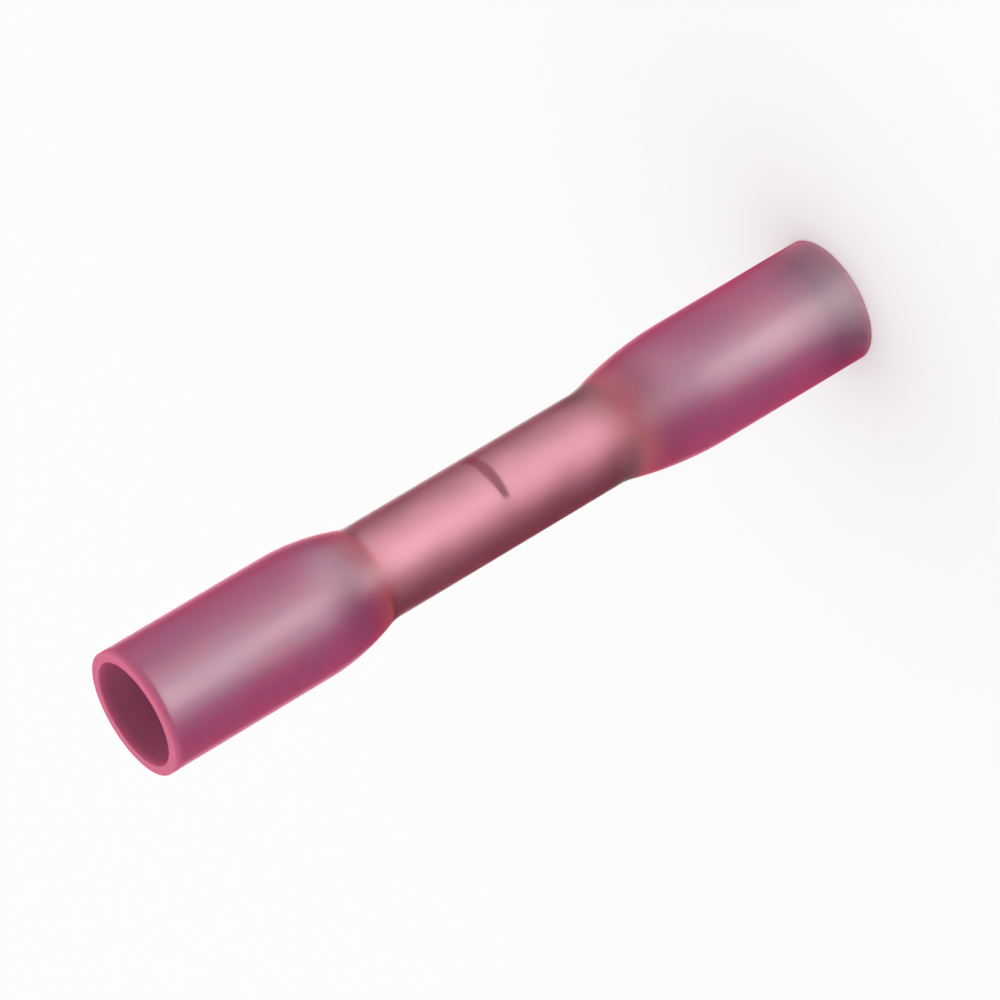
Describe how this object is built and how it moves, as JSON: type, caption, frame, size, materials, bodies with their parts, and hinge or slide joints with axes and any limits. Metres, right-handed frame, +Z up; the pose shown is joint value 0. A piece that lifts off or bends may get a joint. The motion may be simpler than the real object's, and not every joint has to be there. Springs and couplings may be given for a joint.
{
  "type": "butt splice connector",
  "caption": "Heat-shrink butt splice: a tinned crimp barrel with a wire stop, inside a translucent pink shrink sleeve that opens into a bell mouth at each end.",
  "frame": {"origin": "centre of the lower mouth's cut edge, where the splice stands on its end", "axes": "+Z up the splice's axis to the upper mouth, +X towards the dent of the wire stop"},
  "size_m": [0.0062, 0.0062, 0.04],
  "materials": {
    "tinned_copper": "satin tin plating on copper",
    "pink_polyolefin": "satin, translucent"
  },
  "bodies": {
    "root": {"crimp_barrel": "tinned_copper", "heat_shrink_sleeve": "pink_polyolefin"}
  },
  "joints": []
}
